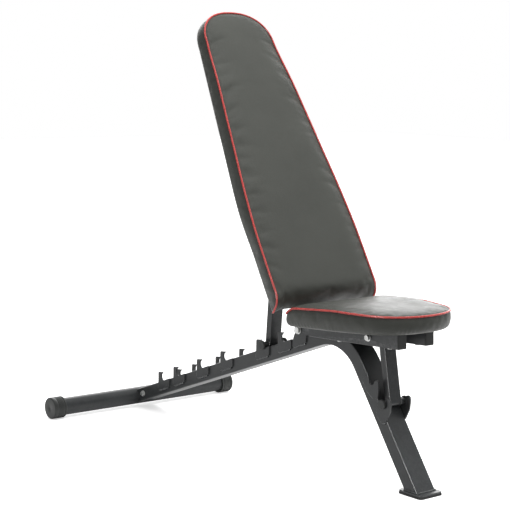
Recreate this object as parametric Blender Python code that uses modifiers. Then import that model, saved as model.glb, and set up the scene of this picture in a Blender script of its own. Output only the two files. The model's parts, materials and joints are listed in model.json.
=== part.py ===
"""Adjustable incline and decline bench: a bent spine tube on a rear stabiliser, a seat and a
backrest that turn on one hinge bolt, and two props whose crossbars drop into welded hooks.

Dimensions are in millimetres, measured from the axis of the rear stabiliser. X_MID moves the
middle of the whole bench to X = 0. +X is where the knees go, +Z is up, -Y is the right side.
A side view point is (x, z). Every piece that turns is parented to the empty on its axis.
"""

import math

import bmesh
import bpy
from mathutils import Matrix, Vector

X_MID = 564.0
OBJECT = "adjustable_bench"
SIDES = ((-1, "right"), (1, "left"))

# Bolts: shank radius, width across the flats, flange radius
M8 = {"shank": 4.0, "flats": 13.0, "flange": 9.0}
M10 = {"shank": 5.0, "flats": 17.0, "flange": 11.0}
HOLE_PLAY = 0.4
M8_HOLE = M8["shank"] + HOLE_PLAY
M10_HOLE = M10["shank"] + HOLE_PLAY
NUT_PLAY = 0.3
SIDE_GAP = 0.4  # along Y, between a tube or plate and what is bolted against it
SCREW_GAP = 0.6  # between a tube and the screw head below or behind it

# Rear stabiliser
STAB_R, STAB_WALL, STAB_Z = 24.15, 2.0, 30.0
STAB_HALF = 307.9
CAP_R, CAP_IN, CAP_OUT = 30.0, 275.0, 313.5
STAB_BOLT = (46.0, 45.0)

# Spine: one bent rectangular tube, up the slope, round the bend and down the leg
SPINE_W, SPINE_D, WALL, CORNER = 60.0, 36.0, 2.0, 3.0
SLOPE = 0.371
TOP_AT_0 = 46.4
LEG_LEAN = 0.7002  # forward run of the leg for each unit of fall
LEG_X, LEG_Z = 1118.05, 9.35
LEG_RUN = 352.0
BEND_X, BEND_Z, BEND_R = 832.5, 208.0, 120.0
SLOPE_ANGLE = math.atan(SLOPE)
LEG_ANGLE = math.atan(LEG_LEAN)
CENTRE_AT_0 = TOP_AT_0 - SPINE_D / 2 / math.cos(SLOPE_ANGLE)

# Foot
FOOT_X, FOOT_SIZE, FOOT_CORNER = 1120.5, 75.0, 8.0
FOOT_PAD_TOP = 4.7
FOOT_PLATE_Z = (5.0, 9.2)

# Hooks on the spine for the backrest prop, by the front edge of each prong
HOOK_STATIONS = (142.6, 213.4, 320.1, 422.9, 572.0, 657.7)
HOOK_T = 4.0
HOOK_IN = SPINE_W / 2 + 0.3
HOOK_OUT = HOOK_IN + HOOK_T
PRONG_W, PRONG_H = 18.4, 28.0

# Hinge shared by seat and backrest, and the two props
HINGE = (722.6, 332.2)
SLEEVE_HALF = 25.0
TONGUE_R = 14.0  # round end of the seat tongues and backrest lugs
BACK_PIVOT = (603.95, 613.52)
BACK_BAR = (581.0, 271.2)
SEAT_PIVOT = (993.3, 356.0)
SEAT_BAR = (1023.4, 199.3)
BAR_R, BAR_BORE = 8.0, 6.2
BAR_HALF = HOOK_OUT + 0.6
PROP_W, PROP_T = 37.0, 19.5

# Boards and cushions of both seat and backrest
BOARD_T = 10.0
BOARD_INSET = 4.0
PAD_GAP = 0.4
SEAM_H = 6.0  # from the cushion's side ring to its seam
CROWN = ((9.0, 4.0), (28.0, 8.0), (60.0, 10.0))  # (inset from the seam, rise above it)

# Seat, as (x, half width) down the sides and round the nose from its front centre
SEAT_STATIONS = ((812, 158), (873, 157), (921, 153), (970, 146.5), (1018, 137), (1045, 130.5))
SEAT_NOSE = (
    (1136, 0), (1134.8, 21), (1131, 42), (1124, 64), (1114, 83.5),
    (1101, 100.5), (1085, 114.5), (1067, 124), (1045, 130.5),
)
SEAT_REAR, SEAT_CORNER = 813.0, 14.0
SEAT_MIDDLE = 950.0
SEAT_CROWN_Z = 431.5
SEAT_BOARD_GAP = 0.3
SEAM_Z = 422.4
# Fall of the seat's seam to the rear: (x where it starts, run, drop, power)
SEAM_FALLS = ((970.0, 120.0, 9.4, 1.25), (850.0, 37.0, 17.0, 2.2))

# Seat rails: height of the underside at one x, and its slope
RAIL_Z, RAIL_AT, RAIL_RISE, RAIL_H = 326.9, 789.6, 0.0484, 37.0
RAIL_IN, RAIL_OUT = 31.5, 58.5
RAIL_REAR, RAIL_FRONT = 784.0, 1089.3
RAIL_Y = (RAIL_IN + RAIL_OUT) / 2
RAIL_W = RAIL_OUT - RAIL_IN
RAIL_ANGLE = math.atan(RAIL_RISE)
TONGUE_IN = HOOK_OUT + 0.5
TONGUE_OUT = TONGUE_IN + 4.0
SEAT_SCREW_X = (881.0, 1052.0)

# Backrest frame of reference: bottom of its front face, and the direction up the back.
# A station is a distance up the back; a depth is measured behind the front face.
BACK_X, BACK_Z = 802.4, 407.4
BACK_DX, BACK_DZ = -0.5024, 0.8646
# (station, half width)
BACK_STATIONS = (
    (0, 155), (60, 163.5), (180, 164), (280, 158.5), (440, 142.5), (600, 125.5), (735, 111),
)
BACK_ROUND, BACK_TOP_HALF = BACK_STATIONS[-1]
BACK_LENGTH, BACK_CORNER = 824.0, 10.0
BACK_TOP_POWER = 0.87  # below 1 squares the quarter ellipses at the top
BACK_FALL = 43.6
BACK_PAD_BASE = 35.9
BACK_BOARD_DEPTH = BACK_PAD_BASE + PAD_GAP + BOARD_T / 2

# Backrest frame tubes
BACK_TUBE_Y, BACK_TUBE_W, BACK_TUBE_D = 32.0, 25.0, 32.0
BACK_TUBE_DEPTH, BACK_TUBE_FOOT, BACK_TUBE_LENGTH = 62.9, 30.0, 510.0
LUG_HALF = 14.7
LUG_IN = SLEEVE_HALF + 0.4
LUG_OUT = LUG_IN + 4.0
BACK_SCREW_STATION = 470.0

ALONG_Y = Matrix.Rotation(math.radians(-90), 4, "X")
PLATE_XZ = Matrix.Rotation(math.radians(90), 4, "X")


# ------------------------------------------------------------------ scene
for thing in list(bpy.data.objects):
    bpy.data.objects.remove(thing, do_unlink=True)
for group in list(bpy.data.collections):
    bpy.data.collections.remove(group)

parts = bpy.data.collections.new(OBJECT)
cutters = bpy.data.collections.new(OBJECT + "_cutters")
bpy.context.scene.collection.children.link(parts)
bpy.context.scene.collection.children.link(cutters)


def material(name, colour, roughness, metallic):
    made = bpy.data.materials.new(name)
    made.use_nodes = True
    shader = made.node_tree.nodes["Principled BSDF"]
    shader.inputs["Base Color"].default_value = (*colour, 1.0)
    shader.inputs["Roughness"].default_value = roughness
    shader.inputs["Metallic"].default_value = metallic
    made.diffuse_color = (*colour, 1.0)
    return made


FRAME = material("powder_coat", colour=(0.055, 0.057, 0.056), roughness=0.42, metallic=0.1)
ZINC = material("zinc_plate", colour=(0.62, 0.63, 0.64), roughness=0.28, metallic=1.0)
PLASTIC = material("black_plastic", colour=(0.04, 0.042, 0.042), roughness=0.55, metallic=0.0)
RUBBER = material("black_rubber", colour=(0.025, 0.025, 0.025), roughness=0.85, metallic=0.0)
VINYL = material("grey_vinyl", colour=(0.105, 0.107, 0.098), roughness=0.5, metallic=0.0)
PLY = material("plywood_board", colour=(0.45, 0.32, 0.19), roughness=0.75, metallic=0.0)


# ------------------------------------------------------------------ placement
def move_of(x=0.0, y=0.0, z=0.0):
    """Placement of a piece at a point in millimetres from the stabiliser axis."""
    return Matrix.Translation(Vector(((x - X_MID) / 1000, y / 1000, z / 1000)))


def across(centre, y=0.0):
    """Placement at a side view point, with local Z along +Y."""
    return move_of(centre[0], y, centre[1]) @ ALONG_Y


def tilt_y(rise):
    """Rotation about Y that carries +X up to a slope of rise."""
    return Matrix.Rotation(-math.atan(rise), 4, "Y")


def joint_empty(name, point):
    """Empty on a joint's axis; the pieces that turn about it are parented to it."""
    empty = bpy.data.objects.new(name, None)
    empty.empty_display_size = 0.05
    empty.matrix_world = move_of(point[0], 0, point[1])
    parts.objects.link(empty)
    return empty


def place(obj, mat, matrix, joint=None):
    """Links a finished object as a part, or as a cutter when it has no material."""
    if mat is None:
        cutters.objects.link(obj)
        obj.hide_render = True
        obj.display_type = "WIRE"
    else:
        parts.objects.link(obj)
        obj.data.materials.clear()
        obj.data.materials.append(mat)
    if joint is not None:
        obj.parent = joint
        obj.matrix_parent_inverse = Matrix.Translation(joint.location).inverted()
    obj.matrix_basis = matrix
    return obj


# ------------------------------------------------------------------ modifiers
def add_modifier(obj, kind, **settings):
    modifier = obj.modifiers.new(kind.lower(), kind)
    for key, value in settings.items():
        setattr(modifier, key, value)


def bevel(obj, width, segments):
    add_modifier(
        obj, "BEVEL", width=width / 1000, segments=segments,
        limit_method="ANGLE", angle_limit=math.radians(50),
    )


def solidify(obj, wall):
    """Gives an open tube surface its wall, inwards."""
    add_modifier(obj, "SOLIDIFY", thickness=wall / 1000, offset=-1.0, use_even_offset=True)


def boolean(obj, other, operation):
    add_modifier(obj, "BOOLEAN", operation=operation, solver="EXACT", object=other)


def cut(obj, *tools):
    for tool in tools:
        boolean(obj, tool, "DIFFERENCE")


# ------------------------------------------------------------------ solids
def from_bmesh(name, shape, mat, matrix, joint=None):
    mesh = bpy.data.meshes.new(name)
    bmesh.ops.scale(shape, vec=(0.001, 0.001, 0.001), verts=shape.verts)
    shape.to_mesh(mesh)
    shape.free()
    return place(bpy.data.objects.new(name, mesh), mat, matrix, joint)


def cube(size):
    shape = bmesh.new()
    bmesh.ops.create_cube(shape, size=1.0)
    bmesh.ops.scale(shape, vec=size, verts=shape.verts)
    return shape


def cylinder(radius, length, sides):
    shape = bmesh.new()
    bmesh.ops.create_cone(
        shape, cap_ends=True, segments=sides, radius1=radius, radius2=radius, depth=length
    )
    return shape


def box(name, size, mat, matrix, joint=None):
    return from_bmesh(name, cube(size), mat, matrix, joint)


def rod(name, centre, radius, y0, y1, mat=None, joint=None, sides=24):
    """Cylinder along Y, as a cutter unless it has a material."""
    matrix = across(centre, (y0 + y1) / 2)
    return from_bmesh(name, cylinder(radius, abs(y1 - y0), sides), mat, matrix, joint)


def plate(name, outline, thickness, mat, matrix, joint=None):
    """Flat piece: a filled 2D curve, extruded half its thickness each way, made into a mesh."""
    curve = bpy.data.curves.new(name, "CURVE")
    curve.dimensions = "2D"
    curve.fill_mode = "BOTH"
    curve.extrude = thickness / 2000
    spline = curve.splines.new("POLY")
    spline.points.add(len(outline) - 1)
    for point, (x, y) in zip(spline.points, outline):
        point.co = (x / 1000, y / 1000, 0.0, 1.0)
    spline.use_cyclic_u = True
    drawn = bpy.data.objects.new(name + "_outline", curve)
    parts.objects.link(drawn)
    bpy.context.view_layer.update()
    graph = bpy.context.evaluated_depsgraph_get()
    mesh = bpy.data.meshes.new_from_object(drawn.evaluated_get(graph))
    bpy.data.objects.remove(drawn, do_unlink=True)
    bpy.data.curves.remove(curve)
    # The caps and the rim come out of the curve unjoined.
    shape = bmesh.new()
    shape.from_mesh(mesh)
    bmesh.ops.remove_doubles(shape, verts=shape.verts, dist=1e-6)
    bmesh.ops.recalc_face_normals(shape, faces=shape.faces)
    shape.to_mesh(mesh)
    shape.free()
    mesh.name = name
    return place(bpy.data.objects.new(name, mesh), mat, matrix, joint)


def side_plate(name, outline, side, inner, outer, mat=None):
    """Plate standing in the XZ plane, between two distances out to one side."""
    matrix = move_of(0, side * (inner + outer) / 2, 0) @ PLATE_XZ
    return plate(name, outline, outer - inner, mat, matrix)


def spine_plates(name, outline):
    """The same plate welded to both sides of the spine."""
    return [
        side_plate(f"{name}_{word}", outline, side, HOOK_IN, HOOK_OUT, FRAME)
        for side, word in SIDES
    ]


def lathe(name, profile, mat, matrix, joint=None, steps=32):
    """Turned piece about its own Z: (radius, height) points through the Screw modifier. The
    profile is either open, from the axis to the axis, or a closed ring that never reaches it."""
    area = sum(a[0] * b[1] - b[0] * a[1] for a, b in zip(profile, profile[1:] + profile[:1]))
    run = list(profile) if area < 0 else list(reversed(profile))
    mesh = bpy.data.meshes.new(name)
    edges = [(i, i + 1) for i in range(len(run) - 1)]
    if profile[0][0] > 0:
        edges.append((len(run) - 1, 0))
    mesh.from_pydata([(radius / 1000, 0.0, height / 1000) for radius, height in run], edges, [])
    obj = place(bpy.data.objects.new(name, mesh), mat, matrix, joint)
    add_modifier(
        obj, "SCREW", axis="Z", angle=math.tau, steps=steps, render_steps=steps,
        screw_offset=0.0, use_merge_vertices=True, merge_threshold=0.00001,
        use_smooth_shade=True,
    )
    return obj


def round_tube(name, centre, outer, bore, y0, y1, mat, joint=None, steps=24):
    """Round tube along Y, given by its two radii."""
    profile = [(outer, y1), (outer, y0), (bore, y0), (bore, y1)]
    lathe(name, profile, mat, across(centre), joint, steps)


def cap_pair(prefix, profile, centre, joint=None, steps=24):
    """Plastic caps on both ends of a bar along Y; the profile is that of the +Y one."""
    for side, word in SIDES:
        run = [(radius, side * y) for radius, y in profile]
        lathe(f"{prefix}_cap_{word}", run, PLASTIC, across(centre), joint, steps)


def rounded_section(shape, width, depth, corner, steps=3):
    """Rounded rectangle in the local YZ plane; returns its face."""
    corners = [
        shape.verts.new((0, y * width / 2, z * depth / 2))
        for y, z in ((1, 1), (-1, 1), (-1, -1), (1, -1))
    ]
    shape.faces.new(corners)
    bmesh.ops.bevel(
        shape, geom=corners, offset=corner, segments=steps, profile=0.5, affect="VERTICES"
    )
    return next(iter(shape.faces))


def run_on(shape, edges, dx, dz):
    """Extrudes a loop of edges by a straight step; returns the new loop."""
    grown = bmesh.ops.extrude_edge_only(shape, edges=edges)["geom"]
    moved = [item for item in grown if isinstance(item, bmesh.types.BMVert)]
    bmesh.ops.translate(shape, vec=(dx, 0, dz), verts=moved)
    return [item for item in grown if isinstance(item, bmesh.types.BMEdge)]


def face_outwards(shape):
    """Turns the faces of a tube in the XZ plane away from its centre line."""
    bmesh.ops.recalc_face_normals(shape, faces=shape.faces)
    outermost = max(shape.faces, key=lambda face: face.calc_center_median().y)
    if outermost.normal.y < 0:
        bmesh.ops.reverse_faces(shape, faces=shape.faces)


def straight_tube(
    name, width, depth, wall, corner, length, matrix, joint=None, closed_rear=False, steps=3
):
    """Rectangular tube along local X, open at its far end."""
    shape = bmesh.new()
    face = rounded_section(shape, width, depth, corner, steps)
    run_on(shape, list(face.edges), length, 0)
    if not closed_rear:
        bmesh.ops.delete(shape, geom=[face], context="FACES_ONLY")
    face_outwards(shape)
    obj = from_bmesh(name, shape, FRAME, matrix, joint)
    solidify(obj, wall)
    return obj


# ------------------------------------------------------------------ fasteners
def hexagon(name, centre, flats, y0, y1, mat, joint):
    obj = rod(name, centre, flats / math.sqrt(3), y0, y1, mat, joint, sides=6)
    bevel(obj, 0.7, 1)
    return obj


def bolt_and_nut(prefix, centre, size, half_grip, end, head, nut, joint=None):
    """Bolt along Y with its flanged head on the right and its nut on the left. half_grip is
    where both seat, end is the shank's tip, head and nut are their heights."""
    seat, shank, flange = -half_grip, size["shank"], size["flange"]
    profile = [
        (0, end),
        (shank - 0.6, end),
        (shank, end - 0.8),
        (shank, seat),
        (flange, seat),
        (flange, seat - 1.4),
        (0, seat - 1.4),
    ]
    body = lathe(f"{prefix}_bolt", profile, ZINC, across(centre), joint, steps=24)
    head_name = f"cut_{prefix}_bolt_head"
    boolean(
        body,
        hexagon(head_name, centre, size["flats"], seat - 0.7, seat - head, None, joint),
        "UNION",
    )
    top = half_grip + nut
    ring = hexagon(f"{prefix}_nut", centre, size["flats"], half_grip, top, ZINC, joint)
    bore_name = f"cut_{prefix}_nut_bore"
    cut(ring, rod(bore_name, centre, shank + NUT_PLAY, half_grip - 3, top + 3, joint=joint))


def screw(name, matrix, seat, tip, joint):
    """Pan-head screw along local Z with its head below seat."""
    profile = [
        (0, tip),
        (2.5, tip),
        (2.5, seat),
        (5.6, seat),
        (5.6, seat - 2.0),
        (4.2, seat - 3.0),
        (0, seat - 3.0),
    ]
    lathe(name, profile, ZINC, matrix, joint, steps=16)


def screw_hole(name, length, matrix):
    return from_bmesh(name, cylinder(2.9, length, 16), None, matrix)


# ------------------------------------------------------------------ outlines
def arc(centre, radius, start, end, steps):
    """Points of an arc in (x, z), angles in degrees from +X towards +Z."""
    angles = [math.radians(start + (end - start) * k / steps) for k in range(steps + 1)]
    return [
        (centre[0] + radius * math.cos(angle), centre[1] + radius * math.sin(angle))
        for angle in angles
    ]


def above_top(x, rise):
    """Side view point at a height above the top of the spine's slope."""
    return x, TOP_AT_0 + SLOPE * x + rise


def smooth_through(stations, at):
    """Width at one station, by a spline through the named widths that never overshoots."""
    places = [p[0] for p in stations]
    widths = [p[1] for p in stations]
    slopes = [
        (widths[i + 1] - widths[i]) / (places[i + 1] - places[i])
        for i in range(len(places) - 1)
    ]
    tangents = [slopes[0]]
    for a, b in zip(slopes, slopes[1:]):
        tangents.append(0.0 if a * b <= 0 else 2 * a * b / (a + b))
    tangents.append(slopes[-1])
    i = max(0, min(len(places) - 2, sum(1 for p in places if p <= at) - 1))
    span = places[i + 1] - places[i]
    part = (at - places[i]) / span
    return (
        widths[i] * (2 * part**3 - 3 * part**2 + 1)
        + tangents[i] * span * (part**3 - 2 * part**2 + part)
        + widths[i + 1] * (3 * part**2 - 2 * part**3)
        + tangents[i + 1] * span * (part**3 - part**2)
    )


def side_and_corner(stations, start, end, radius, steps):
    """Half outline from start, left out, along the side and round the corner to end."""
    turn = end + radius
    points = []
    for k in range(1, steps + 1):
        at = start + (turn - start) * k / steps
        points.append((at, smooth_through(stations, at)))
    half = smooth_through(stations, turn)
    for k in range(1, 5):
        angle = math.radians(90 * k / 4)
        points.append((turn - radius * math.sin(angle), half - radius + radius * math.cos(angle)))
    return points


def mirrored(points):
    """Closes a half outline that starts on the middle line with its mirror image."""
    return points + [(x, -y) for x, y in reversed(points[1:])]


def inset_loop(points, inset):
    """Moves each point of a closed anticlockwise loop inwards along its normal."""
    moved = []
    for i, (x, y) in enumerate(points):
        before, after = points[i - 1], points[(i + 1) % len(points)]
        dx, dy = after[0] - before[0], after[1] - before[1]
        length = math.hypot(dx, dy)
        moved.append((x - dy / length * inset, y + dx / length * inset))
    return moved


def cushion(name, rings, tip, joint):
    """Loft of a cushion through unlike outlines, from its flat base over the seam to its crown."""
    shape = bmesh.new()
    loops = [[shape.verts.new(point) for point in ring] for ring in rings]
    shape.faces.new(loops[0])
    for low, high in zip(loops, loops[1:]):
        for k in range(len(low)):
            n = (k + 1) % len(low)
            shape.faces.new((low[k], low[n], high[n], high[k]))
    crown = shape.verts.new(tip)
    last = loops[-1]
    for k in range(len(last)):
        shape.faces.new((last[k], last[(k + 1) % len(last)], crown))
    bmesh.ops.recalc_face_normals(shape, faces=shape.faces)
    for face in shape.faces:
        face.smooth = True
    from_bmesh(name, shape, VINYL, move_of(), joint)


back_axis = joint_empty("backrest_hinge_axis", HINGE)
seat_axis = joint_empty("seat_hinge_axis", HINGE)
back_strut_axis = joint_empty("back_strut_axis", BACK_PIVOT)
seat_strut_axis = joint_empty("seat_strut_axis", SEAT_PIVOT)
hinge_bore = rod("cut_hinge_bore", HINGE, M10_HOLE, -70, 70)


# ------------------------------------------------------------------ frame
def spine():
    """Section at the stabiliser, run up the slope, spun round the bend and run down the leg
    past the foot, where a box cuts it level."""
    slope_run = BEND_X - BEND_R * math.sin(SLOPE_ANGLE)
    shape = bmesh.new()
    section = rounded_section(shape, SPINE_W, SPINE_D, CORNER)
    edges = list(section.edges)
    bmesh.ops.delete(shape, geom=[section], context="FACES_ONLY")
    turn = tilt_y(SLOPE).to_3x3()
    bmesh.ops.rotate(shape, verts=shape.verts, matrix=turn, cent=(0, 0, 0))
    bmesh.ops.translate(shape, verts=shape.verts, vec=(0, 0, CENTRE_AT_0))
    edges = run_on(shape, edges, slope_run, slope_run * math.tan(SLOPE_ANGLE))
    turned = bmesh.ops.spin(
        shape, geom=edges, cent=(BEND_X, 0, BEND_Z), axis=(0, 1, 0),
        angle=SLOPE_ANGLE + math.pi / 2 - LEG_ANGLE, steps=12, use_duplicate=False,
    )["geom_last"]
    edges = [item for item in turned if isinstance(item, bmesh.types.BMEdge)]
    run_on(shape, edges, LEG_RUN * math.sin(LEG_ANGLE), -LEG_RUN * math.cos(LEG_ANGLE))
    face_outwards(shape)
    tube = from_bmesh("main_tube", shape, FRAME, move_of())
    solidify(tube, WALL)
    cut(
        tube,
        box("cut_level_foot", (300, 100, 100), None, move_of(LEG_X, 0, LEG_Z - 50)),
        rod("cut_stabiliser_mouth", (0, STAB_Z), STAB_R + 0.35, -40, 40, sides=48),
        rod("cut_stabiliser_bolt", STAB_BOLT, M8_HOLE, -40, 40),
    )


def stabiliser():
    centre = (0, STAB_Z)
    round_tube(
        "rear_stabilizer_tube", centre, STAB_R, STAB_R - STAB_WALL, -STAB_HALF, STAB_HALF,
        FRAME, steps=48,
    )
    # Cup over the tube's end with a shallow groove near its mouth
    cap = [
        (0, STAB_HALF + 0.3),
        (STAB_R + 0.3, STAB_HALF + 0.3),
        (STAB_R + 0.3, CAP_IN),
        (CAP_R - 1.0, CAP_IN),
        (CAP_R, CAP_IN + 1.0),
        (CAP_R, CAP_IN + 4.5),
        (CAP_R - 1.6, CAP_IN + 5.0),
        (CAP_R - 1.6, CAP_IN + 7.5),
        (CAP_R, CAP_IN + 8.0),
        (CAP_R, CAP_OUT - 5.0),
        (CAP_R - 1.5, CAP_OUT - 1.5),
        (CAP_R - 5.0, CAP_OUT),
        (0, CAP_OUT),
    ]
    cap_pair("stabilizer", cap, centre, steps=48)


def stabiliser_stub():
    """Short tube inside the rear end of the spine, and the bolt through both."""
    start, slack = 3.0, 0.8
    stub = straight_tube(
        "stabilizer_stub", width=SPINE_W - 2 * WALL - slack, depth=SPINE_D - 2 * WALL - slack,
        wall=2.5, corner=2.8, length=77.0,
        matrix=move_of(start, 0, CENTRE_AT_0 + SLOPE * start) @ tilt_y(SLOPE),
    )
    cut(
        stub,
        rod("cut_stub_mouth", (0, STAB_Z), STAB_R + 0.3, -40, 40, sides=48),
        rod("cut_stub_bolt", STAB_BOLT, M8_HOLE, -40, 40),
    )
    half_grip = SPINE_W / 2 + SIDE_GAP
    bolt_and_nut("stabilizer", STAB_BOLT, M8, half_grip, end=39.0, head=6.4, nut=6.5)


def ladder_hooks():
    fillet = 10.0
    for number, edge in enumerate(HOOK_STATIONS, 1):
        rear = edge - PRONG_W
        peak = above_top(edge - PRONG_W / 2, PRONG_H)[1]
        outline = [
            above_top(rear, -23.4),
            above_top(edge + 31, -23.4),
            above_top(edge + 33, -21.0),
            above_top(edge + 33, 0.2),
            above_top(edge + 12, 0.1),
            *arc(above_top(edge - 4 + fillet, fillet - 0.2), fillet, 270, 180, 5),
            (edge - 4, peak - 8.5),
            (edge - 2.4, peak - 5.5),
            (edge + 1.8, peak - 1.8),
            (edge + 2.2, peak + 0.2),
            (edge + 1.2, peak + 1.0),
            (edge - 6, peak - 0.4),
            *arc((rear + 4.2, peak - 5.2), 4.2, 95, 176, 4),
        ]
        spine_plates(f"ladder_hook_{number}", outline)


def leg_hooks():
    """Two open notches on the leg for the seat prop's crossbar, outlines in (x, z)."""
    notch_r = 9.2
    spine_plates("leg_hook_lower", [
        (1022.0, 152.0), (1034.0, 157.0), (1047.0, 183.0), (1048.6, 198.0),
        *arc((1040.6, 207.5), 8.0, 0, 180, 6),
        (1032.6, 199.3),
        *arc(SEAT_BAR, notch_r, -20, -160, 6),
        (1014.2, 199.3), (1014.2, 204.6), (1010.5, 204.0), (1001.0, 187.0), (1004.0, 168.0),
    ])
    spine_plates("leg_hook_upper", [
        (1004.4, 207.5), (1006.0, 225.0), (1006.0, 246.5),
        *arc((1001.0, 246.5), 5.0, 20, 90, 3),
        (996.0, 251.0), (992.2, 247.0),
        *arc((983.0, 248.0), notch_r, -20, -160, 6),
        (973.8, 250.0), (969.0, 257.0), (958.0, 254.0), (952.0, 244.0),
        (966.0, 222.0), (990.0, 206.5),
    ])


def hinge():
    """Ears on the spine, the sleeve between them and the hinge bolt."""
    ear = [
        above_top(699.0, -21.0),
        above_top(744.0, -21.0),
        above_top(746.0, -19.0),
        above_top(746.0, -2.0),
        *arc(HINGE, 15.0, -8, 188, 12),
        above_top(697.0, -2.0),
        above_top(697.0, -19.0),
    ]
    for made in spine_plates("hinge_ear", ear):
        cut(made, hinge_bore)
    round_tube("hinge_sleeve", HINGE, 11.0, 5.5, -SLEEVE_HALF, SLEEVE_HALF, ZINC)
    bolt_and_nut("hinge", HINGE, M10, TONGUE_OUT + SIDE_GAP, end=48.5, head=7.0, nut=7.8)


def foot_slab(name, size, z0, z1, mat):
    """Square slab under the leg with rounded upright edges."""
    shape = cube((size, size, z1 - z0))
    upright = [e for e in shape.edges if abs(e.verts[0].co.z - e.verts[1].co.z) > 0.1]
    bmesh.ops.bevel(
        shape, geom=upright, offset=FOOT_CORNER, segments=4, profile=0.5, affect="EDGES"
    )
    from_bmesh(name, shape, mat, move_of(FOOT_X, 0, (z0 + z1) / 2))


spine()
stabiliser()
stabiliser_stub()
ladder_hooks()
leg_hooks()
hinge()
foot_slab("foot_pad", FOOT_SIZE, 0.0, FOOT_PAD_TOP, RUBBER)
foot_slab("foot_plate", FOOT_SIZE - 1.6, *FOOT_PLATE_Z, FRAME)


# ------------------------------------------------------------------ props
def prop(prefix, pivot, bar, above, below, joint):
    """A rectangular tube from its pivot bolt down to the crossbar that lies in a hook. It runs
    on past the pivot by above and past the crossbar's axis by below."""
    dx, dz = pivot[0] - bar[0], pivot[1] - bar[1]
    length = math.hypot(dx, dz)
    tube = straight_tube(
        f"{prefix}_tube", width=PROP_W, depth=PROP_T, wall=1.8, corner=2.2,
        length=length + above + below,
        matrix=move_of(bar[0] - dx / length * below, 0, bar[1] - dz / length * below)
        @ Matrix.Rotation(-math.atan2(dz, dx), 4, "Y"),
        joint=joint, steps=2,
    )
    cut(
        tube,
        rod(f"cut_{prefix}_bar", bar, BAR_R + 0.3, -30, 30, joint=joint),
        rod(f"cut_{prefix}_pivot", pivot, M8_HOLE, -30, 30, joint=joint),
    )
    round_tube(f"{prefix}_crossbar", bar, BAR_R, BAR_BORE, -BAR_HALF, BAR_HALF, FRAME, joint)
    # Spigot inside the bar, then a disc outside the hook
    cap = [
        (0, 26.0),
        (5.0, 26.0),
        (5.9, 27.0),
        (5.9, 35.2),
        (11.4, 35.2),
        (12.0, 36.0),
        (12.0, 39.4),
        (10.6, 41.0),
        (0, 41.0),
    ]
    cap_pair(prefix, cap, bar, joint)


prop("back_strut", BACK_PIVOT, BACK_BAR, above=10.0, below=-0.5, joint=back_strut_axis)
prop("seat_strut", SEAT_PIVOT, SEAT_BAR, above=9.0, below=0.5, joint=seat_strut_axis)


# ------------------------------------------------------------------ seat
def rail_low(x):
    return RAIL_Z + RAIL_RISE * (x - RAIL_AT)


def rail_high(x):
    return rail_low(x) + RAIL_H


def seat_screws():
    """Screws up through the rails into the board; returns (side, hole) for each."""
    holes = []
    for x in SEAT_SCREW_X:
        for side, _ in SIDES:
            number, y = len(holes) + 1, side * RAIL_Y
            middle = move_of(x, y, rail_low(x) + RAIL_H / 2 + 1.3)
            holes.append((side, screw_hole(f"cut_seat_screw_{number}", RAIL_H + 14.6, middle)))
            seat, tip = rail_low(x) - SCREW_GAP, rail_high(x) + 8.0
            screw(f"seat_screw_{number}", move_of(x, y, 0), seat, tip, seat_axis)
    return holes


def seat_rail(side, word, pivot_bore, holes):
    """Rail with a closed rear end and the tongue that carries it on the hinge."""
    rail = straight_tube(
        f"seat_rail_{word}", width=RAIL_W, depth=RAIL_H, wall=2.0, corner=2.6,
        length=(RAIL_FRONT - RAIL_REAR) / math.cos(RAIL_ANGLE),
        matrix=move_of(RAIL_REAR, side * RAIL_Y, rail_low(RAIL_REAR) + RAIL_H / 2)
        @ tilt_y(RAIL_RISE),
        joint=seat_axis, closed_rear=True,
    )
    tongue = [
        *arc(HINGE, TONGUE_R, 96, 276, 12),
        (748.0, 321.0),
        (789.0, 328.5),
        (789.0, 361.5),
    ]
    tongue_name = f"cut_seat_tongue_{word}"
    boolean(rail, side_plate(tongue_name, tongue, side, TONGUE_IN, TONGUE_OUT), "UNION")
    cut(rail, hinge_bore, pivot_bore, *[hole for at, hole in holes if at == side])


def rail_plug(side, word):
    """Bevelled face joined to the spigot that fills the open front end of the rail."""
    end = move_of(RAIL_FRONT, side * RAIL_Y, rail_low(RAIL_FRONT) + RAIL_H / 2)
    end = end @ tilt_y(RAIL_RISE)
    plug = box(
        f"seat_rail_plug_{word}", (2.6, RAIL_W - 0.6, RAIL_H - 0.6), PLASTIC,
        end @ Matrix.Translation((0.0016, 0, 0)), seat_axis,
    )
    bevel(plug, 0.9, 2)
    spigot = box(
        f"cut_plug_spigot_{word}", (13.0, RAIL_W - 5.2, RAIL_H - 5.2), None,
        end @ Matrix.Translation((-0.0055, 0, 0)), seat_axis,
    )
    boolean(plug, spigot, "UNION")


def seat_seam_z(x):
    """Height of the seam line: level in front, falling to a rounded rear edge."""
    return SEAM_Z - sum(
        drop * min(1.0, max(0.0, (start - x) / run)) ** power
        for start, run, drop, power in SEAM_FALLS
    )


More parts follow.
